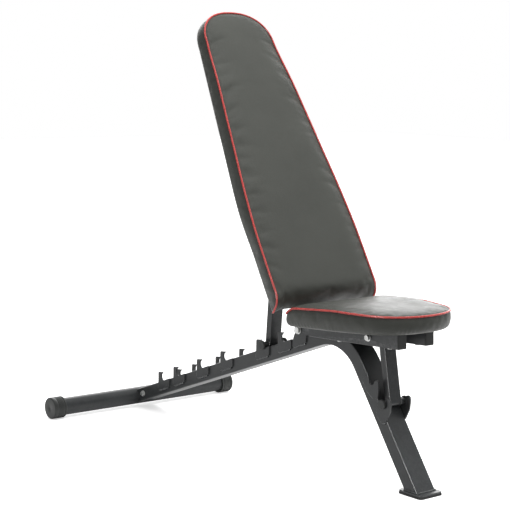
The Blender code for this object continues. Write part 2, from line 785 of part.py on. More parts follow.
def seat_top(holes):
    """Board and cushion, both from one plan in (x, y)."""
    nose_end = SEAT_NOSE[-1][0]
    side = side_and_corner(SEAT_STATIONS, nose_end, SEAT_REAR, SEAT_CORNER, steps=11)
    plan = mirrored(list(SEAT_NOSE) + side)
    along = math.cos(RAIL_ANGLE)
    board_z = rail_high(SEAT_MIDDLE) + SEAT_BOARD_GAP + BOARD_T / 2
    board = plate(
        "seat_board",
        [((x - SEAT_MIDDLE) / along, y) for x, y in inset_loop(plan, BOARD_INSET)],
        BOARD_T, PLY, move_of(SEAT_MIDDLE, 0, board_z) @ tilt_y(RAIL_RISE), seat_axis,
    )
    cut(board, *[hole for _, hole in holes])
    base = SEAT_BOARD_GAP + BOARD_T + PAD_GAP
    rings = [
        [(x, y, rail_high(x) + base) for x, y in inset_loop(plan, 1.0)],
        [(x, y, seat_seam_z(x) - SEAM_H) for x, y in plan],
        [(x, y, seat_seam_z(x)) for x, y in plan],
    ]
    for inset, rise in CROWN:
        rings.append([(x, y, seat_seam_z(x) + rise) for x, y in inset_loop(plan, inset)])
    cushion("seat_pad", rings, (SEAT_MIDDLE, 0.0, SEAT_CROWN_Z), seat_axis)


def seat():
    pivot_bore = rod("cut_seat_pivot", SEAT_PIVOT, M8_HOLE, -70, 70)
    holes = seat_screws()
    for side, word in SIDES:
        seat_rail(side, word, pivot_bore, holes)
        rail_plug(side, word)
        # Fills the space between the prop and the rail
        round_tube(
            f"seat_strut_spacer_{word}", SEAT_PIVOT, 9.0, 4.5,
            side * (PROP_W / 2 + SIDE_GAP), side * (RAIL_IN - SIDE_GAP), ZINC, seat_axis,
        )
    bolt_and_nut(
        "seat_strut", SEAT_PIVOT, M8, RAIL_OUT + SIDE_GAP, end=67.5, head=7.0, nut=7.1,
        joint=seat_axis,
    )
    seat_top(holes)


seat()


# ------------------------------------------------------------------ backrest
def at_back(station, depth):
    """Side view point at a station up the backrest and a depth behind its front face."""
    return (
        BACK_X + BACK_DX * station - BACK_DZ * depth,
        BACK_Z + BACK_DZ * station + BACK_DX * depth,
    )


def back_point(station, y, depth):
    x, z = at_back(station, depth)
    return (x, y, z)


def back_place(station, y, depth):
    """Placement whose local X runs up the backrest and local Z out of its front face."""
    tilt = Matrix.Rotation(math.atan2(BACK_DX, BACK_DZ) - math.pi / 2, 4, "Y")
    return move_of(*back_point(station, y, depth)) @ tilt @ Matrix.Rotation(math.pi, 4, "X")


def back_outline(narrow=0.0):
    """Plan of the backrest, (station, y), anticlockwise from the top. Its lower part is made
    narrower on each side by narrow, which fades out further up."""
    points = []
    for k in range(9):
        angle = math.radians(90 * k / 8)
        points.append((
            BACK_ROUND + (BACK_LENGTH - BACK_ROUND) * math.cos(angle) ** BACK_TOP_POWER,
            BACK_TOP_HALF * math.sin(angle) ** BACK_TOP_POWER,
        ))
    points += side_and_corner(BACK_STATIONS, BACK_ROUND, 0.0, BACK_CORNER, steps=22)
    return mirrored([
        (station, y - narrow * min(1.0, max(0.0, 1 - (station - 205) / 75)))
        for station, y in points
    ])


def fall(station):
    """How far the front face has rolled back: a lot at the bottom edge, a little at the top."""
    if station >= BACK_FALL:
        part = min(1.0, max(0.0, (station - 600.0) / 130.0))
        return 5.0 * part * part * (3 - 2 * part)
    drop = BACK_FALL - max(station, 0.0)
    return BACK_FALL - math.sqrt(BACK_FALL**2 - drop**2)


def back_top():
    """Board and cushion; returns the board."""
    front_plan = back_outline()
    rear_plan = back_outline(narrow=9.0)
    board = plate(
        "back_board", inset_loop(rear_plan, BOARD_INSET), BOARD_T, PLY,
        back_place(0, 0, BACK_BOARD_DEPTH), back_axis,
    )
    rings = [
        [back_point(max(s, 1.0), y, BACK_PAD_BASE) for s, y in inset_loop(rear_plan, 0.5)],
        [back_point(s, y, min(fall(s) + SEAM_H, 33.0)) for s, y in front_plan],
        [back_point(s, y, min(fall(s), 31.0)) for s, y in front_plan],
    ]
    for inset, rise in CROWN:
        rings.append([back_point(s, y, fall(s) - rise) for s, y in inset_loop(front_plan, inset)])
    cushion("back_pad", rings, back_point(400.0, 0.0, -11.0), back_axis)
    return board


def back_frame(side, word, board, pivot_bore):
    """Tube up the back of the board, with its hinge lug and its screw."""
    y = side * BACK_TUBE_Y
    tube = straight_tube(
        f"back_frame_{word}", width=BACK_TUBE_W, depth=BACK_TUBE_D, wall=2.0, corner=2.6,
        length=BACK_TUBE_LENGTH, matrix=back_place(BACK_TUBE_FOOT, y, BACK_TUBE_DEPTH),
        joint=back_axis,
    )
    behind, ahead = BACK_TUBE_DEPTH + LUG_HALF, BACK_TUBE_DEPTH - LUG_HALF
    lug = [
        at_back(70.0, behind),
        at_back(34.0, behind),
        *arc(HINGE, TONGUE_R, 176, 356, 12),
        at_back(34.0, ahead),
        at_back(70.0, ahead),
    ]
    boolean(tube, side_plate(f"cut_back_lug_{word}", lug, side, LUG_IN, LUG_OUT), "UNION")
    hole = screw_hole(f"cut_back_screw_{word}", 45.0, back_place(BACK_SCREW_STATION, y, 61.5))
    cut(tube, hinge_bore, pivot_bore, hole)
    cut(board, hole)
    head_depth = BACK_TUBE_DEPTH + BACK_TUBE_D / 2 + SCREW_GAP
    matrix = back_place(BACK_SCREW_STATION, y, 0)
    screw(f"back_screw_{word}", matrix, -head_depth, -39.8, back_axis)


def backrest():
    board = back_top()
    pivot_bore = rod("cut_back_pivot", BACK_PIVOT, M8_HOLE, -70, 70)
    for side, word in SIDES:
        back_frame(side, word, board, pivot_bore)
    half_grip = BACK_TUBE_Y + BACK_TUBE_W / 2 + SIDE_GAP
    bolt_and_nut(
        "back_strut", BACK_PIVOT, M8, half_grip, end=53.0, head=6.4, nut=6.5, joint=back_axis
    )


backrest()
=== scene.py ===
"""Looks of an adjustable weight bench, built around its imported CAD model.

X runs forwards, from the backrest's top end to the seat's nose, Y to the sitter's left and Z up.
Design sizes are in millimetres, turned to the model's metres by place(); sizes of small
details are in metres unless a comment says otherwise.
"""
import json
import math

import bmesh
import bpy
import numpy as np
from mathutils import Matrix, Vector

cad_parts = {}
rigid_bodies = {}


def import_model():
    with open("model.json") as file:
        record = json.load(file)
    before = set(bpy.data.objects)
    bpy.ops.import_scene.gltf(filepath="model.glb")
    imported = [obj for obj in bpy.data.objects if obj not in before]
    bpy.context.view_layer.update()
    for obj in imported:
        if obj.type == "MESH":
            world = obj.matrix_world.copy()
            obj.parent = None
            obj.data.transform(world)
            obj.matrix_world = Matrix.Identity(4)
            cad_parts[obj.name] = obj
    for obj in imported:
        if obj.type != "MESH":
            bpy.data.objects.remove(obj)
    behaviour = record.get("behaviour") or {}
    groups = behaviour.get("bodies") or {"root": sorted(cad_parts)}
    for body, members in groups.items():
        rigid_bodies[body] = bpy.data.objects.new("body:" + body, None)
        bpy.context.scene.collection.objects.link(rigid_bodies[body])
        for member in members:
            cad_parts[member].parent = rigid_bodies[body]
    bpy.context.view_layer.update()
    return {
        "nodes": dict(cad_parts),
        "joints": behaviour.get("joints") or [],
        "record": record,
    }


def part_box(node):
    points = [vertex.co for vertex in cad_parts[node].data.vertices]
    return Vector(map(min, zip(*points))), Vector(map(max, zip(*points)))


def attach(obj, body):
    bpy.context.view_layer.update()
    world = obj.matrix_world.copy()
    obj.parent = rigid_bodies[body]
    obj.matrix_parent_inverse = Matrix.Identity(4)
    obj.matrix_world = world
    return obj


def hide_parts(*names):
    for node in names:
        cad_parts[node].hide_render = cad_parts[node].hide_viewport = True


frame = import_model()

scene = bpy.context.scene
SIDES = ((-1, "right"), (1, "left"))  # sign of Y, name

# The backrest hinge in design millimetres ties the design to the model
HINGE_X, HINGE_Z = 722.6, 332.2
joints = {joint["name"]: joint for joint in frame["joints"]}
hinge = joints["backrest_hinge"]["pos_m"]
OFFSET_X = hinge[0] * 1000 - HINGE_X
OFFSET_Z = hinge[2] * 1000 - HINGE_Z


def place(x, y, z):
    """Design millimetres to model metres."""
    return Vector(((x + OFFSET_X) / 1000, y / 1000, (z + OFFSET_Z) / 1000))


# ------------------------------------------------------------------ shader node helpers
class Nodes:
    """A shader node tree, with a short call for each kind of node used often."""

    def __init__(self, tree):
        self.nodes, self.links = tree.nodes, tree.links

    def feed(self, socket, value):
        """Link a socket to another, or set its value."""
        if isinstance(value, bpy.types.NodeSocket):
            self.links.new(value, socket)
        else:
            socket.default_value = (*value, 1.0) if socket.type == "RGBA" else value

    def add(self, kind, inputs, **settings):
        node = self.nodes.new(kind)
        for name, value in settings.items():
            setattr(node, name, value)
        for key, value in inputs.items():
            self.feed(node.inputs[key], value)
        return node

    def noise(self, vector, scale, detail=3.0, roughness=0.5, distortion=0.0):
        inputs = {"Scale": scale, "Detail": detail, "Roughness": roughness}
        inputs.update({"Distortion": distortion, "Vector": vector})
        return self.add("ShaderNodeTexNoise", inputs).outputs["Fac"]

    def ramp(self, value, span=(0.3, 0.7), to=(0.0, 1.0)):
        """Map the span of a value to another range."""
        inputs = {"From Min": span[0], "From Max": span[1], "To Min": to[0], "To Max": to[1]}
        return self.add("ShaderNodeMapRange", {**inputs, "Value": value}).outputs["Result"]

    def mix(self, factor, first, second):
        """Blend two colours; the colour sockets of a Mix node are inputs 6 and 7, output 2."""
        inputs = {0: factor, 6: first, 7: second}
        return self.add("ShaderNodeMix", inputs, data_type="RGBA").outputs[2]

    def maths(self, operation, first, second):
        return self.add("ShaderNodeMath", {0: first, 1: second}, operation=operation).outputs[0]

    def dot(self, vector, direction):
        inputs = {0: vector, 1: direction}
        node = self.add("ShaderNodeVectorMath", inputs, operation="DOT_PRODUCT")
        return node.outputs["Value"]

    def bump(self, height, strength, distance, normal=None):
        inputs = {"Strength": strength, "Distance": distance, "Height": height}
        if normal is not None:
            inputs["Normal"] = normal
        return self.add("ShaderNodeBump", inputs).outputs["Normal"]

    def pointiness(self):
        return self.add("ShaderNodeNewGeometry", {}).outputs["Pointiness"]


class Material(Nodes):
    def __init__(self, name):
        self.data = bpy.data.materials.new(name)
        self.data.use_nodes = True
        super().__init__(self.data.node_tree)
        self.shader = self.nodes["Principled BSDF"]
        self.coords = self.add("ShaderNodeTexCoord", {}).outputs["Object"]

    def surface(self, **inputs):
        """Feed the shader; underscores in the names stand for spaces."""
        for name, value in inputs.items():
            self.feed(self.shader.inputs[name.replace("_", " ")], value)
        return self.data


def scaled(colour, factor, add=0.0):
    return tuple(channel * factor + add for channel in colour)


# ------------------------------------------------------------------ materials
def vinyl(name, base, rough, grain):
    """Upholstery vinyl: pebbled grain with painted shade in its grooves, faint creases, uneven sheen
    and slightly worn high spots.
    """
    mat = Material(name)
    cells = mat.add(
        "ShaderNodeTexVoronoi", {"Scale": 620.0, "Randomness": 0.9, "Vector": mat.coords},
        feature="DISTANCE_TO_EDGE",
    )
    pebble = mat.ramp(cells.outputs["Distance"], span=(0.0, 0.22))
    fine = mat.noise(mat.coords, scale=1900.0, detail=2.0)
    folds = mat.noise(mat.coords, scale=38.0, detail=5.0, roughness=0.55, distortion=0.6)
    broad = mat.noise(mat.coords, scale=7.0)
    tone = mat.mix(mat.ramp(broad), scaled(base, 0.92), scaled(base, 1.08))
    # Painted shade: the grain's grooves are darkened to under half the base tone.
    groove_shade = mat.ramp(pebble, span=(0.0, 0.5), to=(0.75, 1.0))
    tone = mat.mix(groove_shade, scaled(base, 0.45), tone)
    worn = mat.ramp(mat.pointiness(), span=(0.515, 0.56), to=(0.0, 0.22))
    tone = mat.mix(worn, tone, scaled(base, 1.9, add=0.02))
    sheen = mat.ramp(folds, span=(0.25, 0.75), to=(rough - 0.07, rough + 0.08))
    sheen = mat.maths("ADD", sheen, 0.0)
    normal = mat.bump(folds, strength=0.16, distance=0.0012)
    normal = mat.bump(pebble, strength=grain, distance=0.00035, normal=normal)
    normal = mat.bump(fine, strength=0.10, distance=0.0001, normal=normal)
    return mat.surface(Base_Color=tone, Roughness=sheen, Specular_IOR_Level=0.42, Normal=normal)


def powder(name, base, rough):
    """Black powder coat: orange-peel bump, dust in the tone, lighter rubbed edges."""
    mat = Material(name)
    peel = mat.noise(mat.coords, scale=900.0, detail=2.0, roughness=0.6)
    speck = mat.noise(mat.coords, scale=2600.0, detail=1.0)
    dust = mat.noise(mat.coords, scale=16.0, detail=5.0, roughness=0.6)
    scuff = mat.noise(mat.coords, scale=85.0, detail=6.0, roughness=0.7, distortion=1.2)
    tone = mat.mix(mat.ramp(dust), scaled(base, 0.88), scaled(base, 1.15))
    rub = mat.ramp(mat.pointiness(), span=(0.53, 0.62), to=(0.0, 0.22))
    rub = mat.maths("MULTIPLY", rub, mat.ramp(scuff, span=(0.42, 0.62), to=(0.25, 1.0)))
    tone = mat.mix(rub, tone, (0.42, 0.43, 0.43))
    gloss = mat.ramp(dust, to=(rough - 0.06, rough + 0.06))
    gloss = mat.maths("ADD", gloss, mat.ramp(scuff, span=(0.5, 0.8), to=(0.0, 0.08)))
    normal = mat.bump(peel, strength=0.14, distance=0.0003)
    normal = mat.bump(speck, strength=0.06, distance=0.0001, normal=normal)
    return mat.surface(
        Base_Color=tone, Roughness=gloss, Specular_IOR_Level=0.42,
        Coat_Weight=0.08, Coat_Roughness=0.28, Normal=normal,
    )


def zinc(name):
    """Bright zinc plate: brushed along Y, with duller stains."""
    mat = Material(name)
    stretch = mat.add("ShaderNodeMapping", {"Scale": (1.0, 0.12, 1.0), "Vector": mat.coords})
    brushed = mat.noise(stretch.outputs["Vector"], scale=1800.0, roughness=0.6)
    stain = mat.noise(mat.coords, scale=130.0, detail=4.0, roughness=0.6)
    tone = mat.mix(mat.ramp(stain, span=(0.35, 0.7)), (0.72, 0.73, 0.73), (0.56, 0.56, 0.53))
    gloss = mat.ramp(stain, to=(0.22, 0.38))
    normal = mat.bump(brushed, strength=0.12, distance=0.0001)
    return mat.surface(Base_Color=tone, Metallic=1.0, Roughness=gloss, Normal=normal)


def moulded(name, base, rough, scale, depth):
    """Moulded plastic or rubber: fine spark-eroded texture and slight tone drift."""
    mat = Material(name)
    grain = mat.noise(mat.coords, scale=scale, detail=2.0, roughness=0.65)
    drift = mat.noise(mat.coords, scale=30.0, detail=4.0, roughness=0.6)
    tone = mat.mix(mat.ramp(drift), scaled(base, 0.85), scaled(base, 1.25))
    edge = mat.ramp(mat.pointiness(), span=(0.53, 0.65), to=(0.0, 0.25))
    tone = mat.mix(edge, tone, (0.22, 0.22, 0.21))
    gloss = mat.ramp(drift, to=(rough - 0.06, rough + 0.08))
    normal = mat.bump(grain, strength=depth, distance=0.0002)
    return mat.surface(Base_Color=tone, Roughness=gloss, Normal=normal)


def cover_cloth(name, base):
    """Black non-woven dust cover: crossed fibres pressed with a fine square pattern."""
    mat = Material(name)
    fibres = mat.noise(mat.coords, scale=700.0, detail=5.0, roughness=0.75, distortion=1.5)
    waves = [
        mat.add(
            "ShaderNodeTexWave", {"Scale": 260.0, "Distortion": 0.6, "Vector": mat.coords},
            wave_type="BANDS", bands_direction=direction,
        ).outputs["Fac"]
        for direction in ("X", "Y")
    ]
    weave = mat.maths("MULTIPLY", *waves)
    tone = mat.mix(fibres, scaled(base, 0.6), scaled(base, 1.7))
    normal = mat.bump(weave, strength=0.35, distance=0.0003)
    normal = mat.bump(fibres, strength=0.25, distance=0.0002, normal=normal)
    return mat.surface(Base_Color=tone, Roughness=0.92, Sheen_Weight=0.2, Normal=normal)


def plywood(name):
    mat = Material(name)
    grain = mat.add(
        "ShaderNodeTexWave",
        {"Scale": 60.0, "Distortion": 6.0, "Detail": 4.0, "Vector": mat.coords},
        bands_direction="Y",
    ).outputs["Fac"]
    tone = mat.mix(grain, (0.42, 0.29, 0.17), (0.56, 0.42, 0.27))
    normal = mat.bump(grain, strength=0.2, distance=0.0003)
    return mat.surface(Base_Color=tone, Roughness=0.75, Normal=normal)


VINYL = vinyl("charcoal_vinyl", base=(0.056, 0.0585, 0.051), rough=0.40, grain=0.30)
PIPING = vinyl("red_piping_vinyl", base=(0.47, 0.052, 0.047), rough=0.27, grain=0.10)
PAINT = powder("black_powder_coat", base=(0.0250, 0.0272, 0.0285), rough=0.34)
# Welds get a lighter copy of the frame's powder coat; the extra lightness is a painted highlight for
# the light their rounded tops catch.
WELD_PAINT_PAINTED_HIGHLIGHT = powder("powder_coat_on_welds_painted_highlight", base=(0.060, 0.064, 0.065), rough=0.26)
ZINC = zinc("bright_zinc")
PLASTIC = moulded(
    "black_plastic", base=(0.024, 0.026, 0.025), rough=0.42, scale=1400.0, depth=0.22
)
RUBBER = moulded("black_rubber", base=(0.022, 0.022, 0.022), rough=0.80, scale=700.0, depth=0.4)
COVER = cover_cloth("dust_cover_cloth", base=(0.020, 0.020, 0.020))
BOARD = plywood("plywood")
SLOTS = {
    "frame_paint": PAINT, "zinc": ZINC, "plastic": PLASTIC,
    "rubber": RUBBER, "vinyl": VINYL, "board": BOARD,
}


# ------------------------------------------------------------------ carried-over CAD pieces
def dress_cad_piece(entry):
    """Give a CAD piece its material, softened edges and clean shading."""
    slot = entry["material_slot"]
    obj = frame["nodes"][entry["node"]]
    obj.data.materials.clear()
    obj.data.materials.append(SLOTS[slot])
    obj.data.polygons.foreach_set("use_smooth", [True] * len(obj.data.polygons))
    weld = obj.modifiers.new("weld", "WELD")
    weld.merge_threshold = 0.00001
    edge = obj.modifiers.new("edge", "BEVEL")
    edge.width = 0.00025 if slot == "zinc" else 0.0004
    edge.segments = 2
    edge.limit_method = "ANGLE"
    edge.angle_limit = math.radians(38)
    edge.harden_normals = False
    normals = obj.modifiers.new("normals", "WEIGHTED_NORMAL")
    normals.mode = "FACE_AREA_WITH_ANGLE"
    normals.weight = 90


for entry in frame["record"]["subparts"]:
    dress_cad_piece(entry)


# ------------------------------------------------------------------ lines
def unit(rows):
    return rows / np.linalg.norm(rows, axis=1, keepdims=True)


def reach_along(line):
    """Distance run at each point of a polyline."""
    steps = np.linalg.norm(np.diff(line, axis=0), axis=1)
    return np.concatenate([[0], np.cumsum(steps)])


def resample(points, count, ease=0.0):
    """count + 1 points evenly along a polyline; ease crowds them towards both ends."""
    points = np.array(points, float)
    reach = reach_along(points)
    share = np.linspace(0, 1, count + 1)
    share = (1 - ease) * share + ease * (0.5 - 0.5 * np.cos(np.pi * share))
    stops = share * reach[-1]
    return np.stack([np.interp(stops, reach, points[:, k]) for k in range(3)], 1)


def around(loop, count):
    """count points evenly round a closed loop."""
    return resample(np.vstack([loop, loop[:1]]), count)[:-1]


def tangents(line, closed=True):
    if closed:
        return np.roll(line, -1, 0) - np.roll(line, 1, 0)
    return np.gradient(line, axis=0)


def outward_of(line, tangent, upward):
    """Sideways directions along a line, pointing away from its middle."""
    outward = np.cross(tangent, upward)
    if ((line - line.mean(0)) * outward).sum(1).mean() < 0:
        outward = -outward
    return outward


def nearest(points, line):
    """Distance to the closest vertex of a dense line, and that vertex's number."""
    best = np.full(len(points), 1e9)
    which = np.zeros(len(points), int)
    block = 4000  # points at a time, to limit memory
    for start in range(0, len(points), block):
        part = slice(start, start + block)
        distance = np.linalg.norm(points[part][:, None, :] - line[None], axis=2)
        which[part] = distance.argmin(1)
        best[part] = distance.min(1)
    return best, which


def smooth_through(stations, x):
    """Monotone cubic through (x, value) stations."""
    xs, values = zip(*stations)
    slopes = [
        (values[i + 1] - values[i]) / (xs[i + 1] - xs[i]) for i in range(len(xs) - 1)
    ]
    ends = [slopes[0]]
    for before, after in zip(slopes, slopes[1:]):
        ends.append(0.0 if before * after <= 0 else 2 * before * after / (before + after))
    ends.append(slopes[-1])
    i = max(0, min(len(xs) - 2, sum(1 for station in xs if station <= x) - 1))
    span = xs[i + 1] - xs[i]
    share = (x - xs[i]) / span
    return (
        values[i] * (2 * share**3 - 3 * share**2 + 1)
        + ends[i] * span * (share**3 - 2 * share**2 + share)
        + values[i + 1] * (3 * share**2 - 2 * share**3)
        + ends[i + 1] * span * (share**3 - share**2)
    )


def through(points, per):
    """Catmull-Rom curve through points, with per steps between neighbours."""
    points = [np.array(point, float) for point in points]
    padded = [2 * points[0] - points[1], *points, 2 * points[-1] - points[-2]]
    run = []
    for before, start, end, after in zip(padded, padded[1:], padded[2:], padded[3:]):
        for k in range(per):
            share = k / per
            run.append(0.5 * (
                2 * start + (end - before) * share
                + (2 * before - 5 * start + 4 * end - after) * share**2
                + (3 * start - before - 3 * end + after) * share**3
            ))
    return run + [points[-1]]


def eased(value, start, end, amount):
    """0 at start, growing smoothly to amount at end."""
    share = min(1.0, max(0.0, (value - start) / (end - start)))
    return amount * share * share * (3 - 2 * share)


# ------------------------------------------------------------------ meshes
def make_mesh(name, verts, faces, mat, body=None):
    mesh = bpy.data.meshes.new(name)
    mesh.from_pydata([tuple(vert) for vert in verts], [], faces)
    mesh.update()
    work = bmesh.new()
    work.from_mesh(mesh)
    bmesh.ops.recalc_face_normals(work, faces=work.faces)
    work.to_mesh(mesh)
    work.free()
    mesh.polygons.foreach_set("use_smooth", [True] * len(mesh.polygons))
    mesh.materials.append(mat)
    obj = bpy.data.objects.new(name, mesh)
    scene.collection.objects.link(obj)
    if body:
        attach(obj, body)
    return obj


def set_points(mesh, points):
    mesh.vertices.foreach_set("co", points.astype(np.float32).ravel())
    mesh.update()


def bridge(first, second):
    """Quads between two closed rings of vertex numbers."""
    count = len(first)
    return [
        (first[k], first[(k + 1) % count], second[(k + 1) % count], second[k])
        for k in range(count)
    ]


def tube(line, radius, closed=True, sides=12, ripple=1.0):
    """Vertices and faces of a round cord; ripple is a radius factor, single or per point."""
    line = np.array(line, float)
    count = len(line)
    tangent = unit(tangents(line, closed))
    normal = np.cross(tangent[0], (0.31, 0.17, 0.93))
    normals = []
    for direction in tangent:
        normal = normal - direction * np.dot(normal, direction)
        normal /= np.linalg.norm(normal)
        normals.append(normal)
    normals = np.array(normals)
    across = np.cross(tangent, normals)
    angle = np.linspace(0, 2 * np.pi, sides, endpoint=False)[None, :, None]
    spokes = normals[:, None, :] * np.cos(angle) + across[:, None, :] * np.sin(angle)
    reach = (radius * np.ones(count) * ripple)[:, None, None]
    verts = (line[:, None, :] + spokes * reach).reshape(-1, 3)

    rings = [[i * sides + k for k in range(sides)] for i in range(count)]
    faces = []
    for here, after in zip(rings, rings[1:]):
        faces += bridge(here, after)
    if closed:
        # The frame turns over a closed loop, so the last ring meets the first by its nearest side
        first, last = verts[:sides], verts[-sides:]
        gaps = [np.linalg.norm(np.roll(first, -k, 0) - last) for k in range(sides)]
        shift = int(np.argmin(gaps))
        faces += bridge(rings[-1], rings[0][shift:] + rings[0][:shift])
    else:
        faces.append(tuple(rings[0][::-1]))
        faces.append(tuple(rings[-1]))
    return verts, faces


def joined(name, chunks, mat, body):
    """One object from several (vertices, faces) chunks."""
    verts, faces = [], []
    for chunk_verts, chunk_faces in chunks:
        base = len(verts)
        verts.extend(map(tuple, chunk_verts))
        faces.extend(tuple(i + base for i in face) for face in chunk_faces)
    return make_mesh(name, verts, faces, mat, body)


# ------------------------------------------------------------------ cushion building
# A cushion outline is four edge polylines: start (bottom of the back, rear of the seat), end,
# and the sides at -Y (minus) and +Y (plus). Both sides run from start to end.
def sample_edges(edges, across, along):
    start, end, minus, plus = edges
    return (
        resample(start, across, ease=0.45),
        resample(end, across, ease=0.45),
        resample(minus, along, ease=0.25),
        resample(plus, along, ease=0.25),
    )


def coons(start, end, minus, plus):
    """Grid [i, j] filling four edges, i across and j along."""

    def fraction(line):
        reach = reach_along(line)
        return reach / reach[-1]

    u = ((fraction(start) + fraction(end)) / 2)[:, None, None]
    v = ((fraction(minus) + fraction(plus)) / 2)[None, :, None]
    grid = (1 - v) * start[:, None, :] + v * end[:, None, :] + (1 - u) * minus[None] + u * plus[None]
    grid -= (
        (1 - u) * (1 - v) * start[0] + u * (1 - v) * start[-1]
        + (1 - u) * v * end[0] + u * v * end[-1]
    )
    return grid


def ring_of(start, end, minus, plus):
    return np.concatenate([start, plus[1:], end[-2::-1], minus[-2:0:-1]])


def ring_indices(across, along):
    """Grid places of ring_of's points."""
    run = [(i, 0) for i in range(across + 1)]
    run += [(across, j) for j in range(1, along + 1)]
    run += [(i, along) for i in range(across - 1, -1, -1)]
    run += [(0, j) for j in range(along - 1, 0, -1)]
    return run


def crowned(grid, loop, upward, crown):
    """Panel points raised by up to crown millimetres away from the seam."""
    fade = 17.0  # mm from the seam over which the crown rises
    flat = grid.reshape(-1, 3)
    distance, _ = nearest(flat, around(loop, 1400))
    lift = crown * (1 - np.exp(-distance * 1000 / fade)) / 1000
    normal = np.cross(np.gradient(grid, axis=0), np.gradient(grid, axis=1))
    normal /= np.maximum(np.linalg.norm(normal, axis=2, keepdims=True), 1e-12)
    normal = normal.reshape(-1, 3)
    if (normal @ upward).mean() < 0:
        normal = -normal
    return list(flat + normal * lift[:, None])


BAND_LEVELS = (0.10, 0.24, 0.40, 0.56, 0.72, 0.84, 0.92, 0.97, 1.0)  # share of the way down
SOFT_LEVELS = 5  # upper band rings that the cloth may move


def side_band(loop, drop, radius, upward, bulge):
    """Rings of points from the seam to the base: a bulged wall with a rounded lower edge."""
    outward = outward_of(loop, unit(tangents(loop)), upward)
    outward = unit(outward)
    height = np.linalg.norm(drop, axis=1)
    levels = []
    for share in BAND_LEVELS:
        short = np.clip(radius - height * (1 - share), 0, radius)
        tuck = radius - np.sqrt(np.maximum(radius**2 - short**2, 0))
        swell = bulge / 1000 * math.sin(math.pi * min(1.0, share * 1.05))
        swell = swell * np.clip(height / 0.02, 0, 1)
        levels.append(loop + drop * share + outward * (swell - tuck)[:, None])
    return levels


def simulate(obj, pinned):
    """Inflate a cushion's free points with Blender's cloth, then keep each within a limit."""
    frames, limit = 20, 0.0045
    before = np.array([vert.co for vert in obj.data.vertices], float)
    group = obj.vertex_groups.new(name="pin")
    group.add([int(i) for i in np.nonzero(pinned)[0]], 1.0, "REPLACE")
    cloth = obj.modifiers.new("cloth", "CLOTH")
    tuning = {
        "quality": 6,
        "mass": 0.3,
        "tension_stiffness": 30,
        "compression_stiffness": 30,
        "shear_stiffness": 12,
        "bending_stiffness": 1.2,
        "tension_damping": 12,
        "compression_damping": 12,
        "bending_damping": 2,
        "vertex_group_mass": "pin",
        "use_pressure": True,
        "uniform_pressure_force": 4.0,
        "shrink_min": -0.012,  # slack in the cover
    }
    for setting, value in tuning.items():
        setattr(cloth.settings, setting, value)
    cloth.settings.effector_weights.gravity = 0.0
    cloth.collision_settings.use_collision = False
    cloth.point_cache.frame_start = 1
    cloth.point_cache.frame_end = frames
    for number in range(1, frames + 1):
        scene.frame_set(number)
    graph = bpy.context.evaluated_depsgraph_get()
    settled = obj.evaluated_get(graph).to_mesh()
    after = np.array([vert.co for vert in settled.vertices], float)
    obj.evaluated_get(graph).to_mesh_clear()
    obj.modifiers.remove(cloth)
    obj.vertex_groups.remove(group)
    scene.frame_set(1)
    move = after - before
    size = np.linalg.norm(move, axis=1, keepdims=True)
    move *= limit * np.tanh(size / limit) / np.maximum(size, 1e-9)
    set_points(obj.data, before + move)


def refine(obj):
    """Apply one level of subdivision."""
    modifier = obj.modifiers.new("fine", "SUBSURF")
    modifier.levels = modifier.render_levels = 1
    graph = bpy.context.evaluated_depsgraph_get()
    mesh = bpy.data.meshes.new_from_object(obj.evaluated_get(graph))
    obj.modifiers.remove(modifier)
    old = obj.data
    obj.data = mesh
    bpy.data.meshes.remove(old)
    obj.data.polygons.foreach_set("use_smooth", [True] * len(obj.data.polygons))


def wobble(along, seed, shortest, longest):
    """Irregular ridges of mixed wavelengths in millimetres, along a seam in metres."""
    rng = np.random.default_rng(seed)
    total = np.zeros_like(along)
    for wave in rng.uniform(shortest, longest, 5):
        ridge = np.sin(2 * np.pi * along * 1000 / wave + rng.uniform(0, 6.28))
        total += ridge * rng.uniform(0.5, 1.0)
    patch_length = rng.uniform(70, 110)
    patch = 0.5 + 0.5 * np.sin(2 * np.pi * along * 1000 / patch_length + rng.uniform(0, 6.28))
    return total / 3.0 * (0.35 + 0.65 * patch)


def pucker(mesh, loop, floor_loop, upward, seed):
    """Puckers at the seam and low on the band, with a shallow valley beside the piping."""
    points = np.array([vert.co for vert in mesh.vertices], float)
    normals = np.array([vert.normal for vert in mesh.vertices], float)
    facing = normals @ upward

    def near(line, count, seed, shortest, longest):
        dense = around(line, count)
        distance, which = nearest(points, dense)
        ridges = wobble(reach_along(dense)[which], seed, shortest, longest)
        return distance * 1000, ridges, dense[which]

    def swell(distance, centre, width):
        """Bell curve over the distance from a seam, in millimetres."""
        return np.exp(-((distance - centre) / width) ** 2)

    distance, ridges, closest = near(loop, 2400, seed, 9.0, 17.0)
    on_panel = np.clip((points - closest) @ upward * 400 + 0.6, 0, 1) * np.clip(facing * 3, 0, 1)
    push = 0.55 * swell(distance, 7.0, 4.5) * ridges * (0.35 + 0.65 * on_panel)
    push += -0.9 * swell(distance, 3.2, 1.6)
    distance, ridges, _ = near(floor_loop, 1800, seed + 1, 7.0, 14.0)
    sideways = 1 - np.abs(facing)
    push += 0.95 * swell(distance, 8.0, 5.5) * ridges * np.clip(sideways * 2.0, 0, 1)
    set_points(mesh, points + normals * (push / 1000)[:, None])


def add_piping(name, line, upward, body, closed):
    """A cord that sits proud of the seam."""
    radius, out_by, up_by = 0.0024, 0.0008, 0.0006
    outward = unit(outward_of(line, tangents(line, closed), upward))
    line = line + outward * out_by + upward * up_by
    share = np.arange(len(line)) / len(line)
    ripple = 1 + 0.03 * np.sin(2 * np.pi * share * 61) + 0.02 * np.sin(2 * np.pi * share * 143 + 1.3)
    verts, faces = tube(line, radius, closed=closed, ripple=ripple)
    make_mesh(name, verts, faces, PIPING, body)


